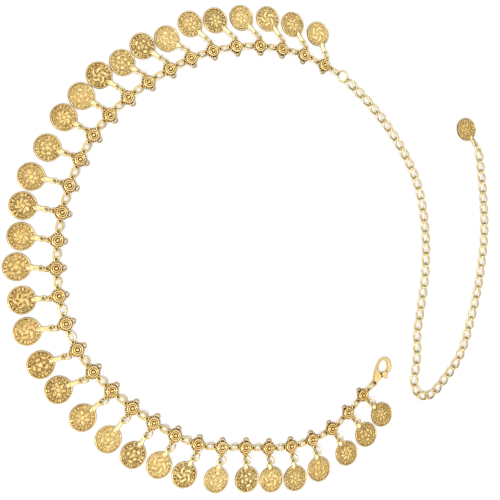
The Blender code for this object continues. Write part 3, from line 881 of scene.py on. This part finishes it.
def make_belt():
    """Stations with their coin rings and the rings between them, in sections."""
    for number in range(BELT_SECTIONS):
        first, last = share_of(len(SPOTS), BELT_SECTIONS, number)
        shape = Shape()
        for k in range(first, last + 1):
            tone = 0.2 + 0.4 * warmth(k) + 0.4 * wander(k, STATION_RATE)
            add_station(shape, SPOTS[k], WAYS[k], tone)
            out = out_direction(WAYS[k], COIN_LIE[k][0])
            add_coin_ring(shape, coin_hole(k), out, COIN_RING_R, 0.6 * wander(k, COIN_RING_RATE))
            start = SPOTS[k] + WAYS[k] * HOLE_OUT
            end = EXTENDER_HOLE if k == len(SPOTS) - 1 else SPOTS[k + 1] - WAYS[k + 1] * HOLE_OUT
            add_join_ring(shape, start, end, 0.7 * wander(k, JOIN_RATE))
        name = "belt_section_%02d" % (number + 1)
        shape.make(name + "_cast", [BELT_GOLD, CHAIN_GOLD], "chain", [name])


def make_chain():
    """The extender's links in sections, with the round ring at its start and the coin's ring at its end."""
    for number in range(CHAIN_SECTIONS):
        first, last = share_of(LINKS, CHAIN_SECTIONS, number)
        shape = Shape()
        for k in range(first, last + 1):
            add_link(shape, JOINTS[k + 1], JOINTS[k + 2], 0.7 * wander(k, LINK_RATE))
        if number == 0:
            hub = JOINTS[0] + UP * ROUND_RING_WIRE
            path = ring_points(56, lambda c, s: hub + np.array([c, s, 0.0]) * ROUND_RING_R)
            shape.add(tube(path, ROUND_RING_WIRE, 12, hub=hub), tone=0.3)
        if number == CHAIN_SECTIONS - 1:
            hub, upward, _ = coin_ring_frame(END_HOLE, END_HEADING, END_RING_R)
            path = ring_points(RING_POINTS, lambda c, s: hub + (END_HEADING * c + upward * s) * END_RING_R)
            shape.add(tube(path, END_RING_WIRE, WIRE_SIDES, hub=hub), tone=0.3)
        name = "chain_section_%02d" % (number + 1)
        shape.make(name + "_links", [CHAIN_GOLD], "chain", [name])


def coin_tone(k):
    """The coins' gold is deeper on the left of the photo and near the clasp."""
    left_side = float(step(-SPOTS[k][0], 40.0, 130.0))
    return 0.6 * left_side + 0.6 * warmth(k) + 0.35 * wander(k, COIN_RATE)


def coin_look(k):
    """Number of the struck disc: the coin's own wear, and a design that changes from coin to coin."""
    return WEAR_LETTERS.index(COIN_WEAR[k]) + len(WEAR) * (3 * k % 4)


def make_coins():
    """The belt's coins and the end coin."""
    for k, (swing, reach) in enumerate(COIN_LIE):
        name = "coin_%02d" % (k + 1)
        out = out_direction(WAYS[k], swing)
        make_coin(name, coin_hole(k), out, reach, COIN_RING_R, coin_look(k), coin_tone(k))
    make_coin("coin_end", END_HOLE, END_HEADING, END_REACH, END_RING_R, look=6, tone=0.9)


# Stage, light and camera

# In metres
FLOOR_HALF = 12.0
FLOOR_GAP = 0.0001


def make_stage():
    """Wide pale floor just below the chain."""
    mesh = bpy.data.meshes.new("floor")
    corners = [(x * FLOOR_HALF, y * FLOOR_HALF, 0) for x, y in ((-1, -1), (1, -1), (1, 1), (-1, 1))]
    mesh.from_pydata(corners, [], [(0, 1, 2, 3)])
    floor = bpy.data.objects.new("floor", mesh)
    floor.location.z = -FLOOR_GAP
    bpy.context.collection.objects.link(floor)
    material = bpy.data.materials.new("floor_white")
    material.use_nodes = True
    shader = material.node_tree.nodes["Principled BSDF"]
    shader.inputs["Base Color"].default_value = (0.88, 0.87, 0.86, 1.0)
    shader.inputs["Roughness"].default_value = 0.9
    shader.inputs["Specular IOR Level"].default_value = 0.1
    mesh.materials.append(material)


LIGHT_SIDE = Vector((-0.50, -0.10, 0.86)).normalized()
# How much a direction faces that side, and its brightness
SKY_STOPS = ((0.0, 0.10), (0.30, 0.42), (0.42, 1.0), (0.52, 1.15), (0.66, 0.98), (1.0, 1.12))


def make_world():
    """Broad soft light high on the left, falling off to a dim right and horizon."""
    world = bpy.data.worlds.new("studio")
    bpy.context.scene.world = world
    world.use_nodes = True
    nodes, links = world.node_tree.nodes, world.node_tree.links
    place = nodes.new("ShaderNodeTexCoord")
    facing = nodes.new("ShaderNodeVectorMath")
    facing.operation = "DOT_PRODUCT"
    facing.inputs[1].default_value = LIGHT_SIDE
    links.new(place.outputs["Generated"], facing.inputs[0])
    ramp = nodes.new("ShaderNodeValToRGB")
    links.new(facing.outputs["Value"], ramp.inputs["Fac"])
    while len(ramp.color_ramp.elements) < len(SKY_STOPS):
        ramp.color_ramp.elements.new(0.5)
    for element, (position, value) in zip(ramp.color_ramp.elements, SKY_STOPS):
        element.position = position
        element.color = (value, value, value, 1)
    background = nodes["Background"]
    background.inputs["Strength"].default_value = 1.0
    links.new(ramp.outputs["Color"], background.inputs["Color"])


def add_light(name, place, size, power):
    """Round soft lamp turned to the middle of the chain."""
    data = bpy.data.lights.new(name, "AREA")
    data.shape = "DISK"
    data.size = size
    data.energy = power
    lamp = bpy.data.objects.new(name, data)
    bpy.context.collection.objects.link(lamp)
    lamp.location = place
    lamp.rotation_euler = (-Vector(place)).to_track_quat("-Z", "Y").to_euler()


# The photograph's own view, from a fit of the coins' outlines: straight down, then tipped towards a side
TO_CAMERA = Vector((-0.42184, -0.03649, 0.90593)).normalized()
# In millimetres
CAMERA_DISTANCE = 655.43
FOCAL_PIXELS = 921.25
PHOTO_PIXELS = 500.0


def make_camera():
    """Camera of the photograph's view, set as the scene's own."""
    data = bpy.data.cameras.new("camera")
    data.sensor_width = 36.0
    data.lens = data.sensor_width * FOCAL_PIXELS / PHOTO_PIXELS
    camera = bpy.data.objects.new("camera", data)
    bpy.context.collection.objects.link(camera)
    place = TO_CAMERA * CAMERA_DISTANCE + Vector(SHIFT)
    tip = Vector(UP).rotation_difference(TO_CAMERA).to_matrix().to_4x4()
    camera.matrix_world = Matrix.Translation(place * MM) @ tip
    data.clip_start = 0.01
    data.clip_end = 20.0
    bpy.context.scene.camera = camera


make_camera()
make_belt()
make_chain()
make_coins()
make_clasp()
make_stage()
make_world()
add_light("key", place=(-0.9, -0.5, 1.2), size=0.4, power=10.0)
add_light("fill", place=(0.65, 0.56, 1.4), size=1.0, power=2.4)
add_light("low_fill", place=(0.65, -0.45, 1.4), size=0.8, power=1.5)
bpy.context.scene.view_settings.view_transform = "Standard"
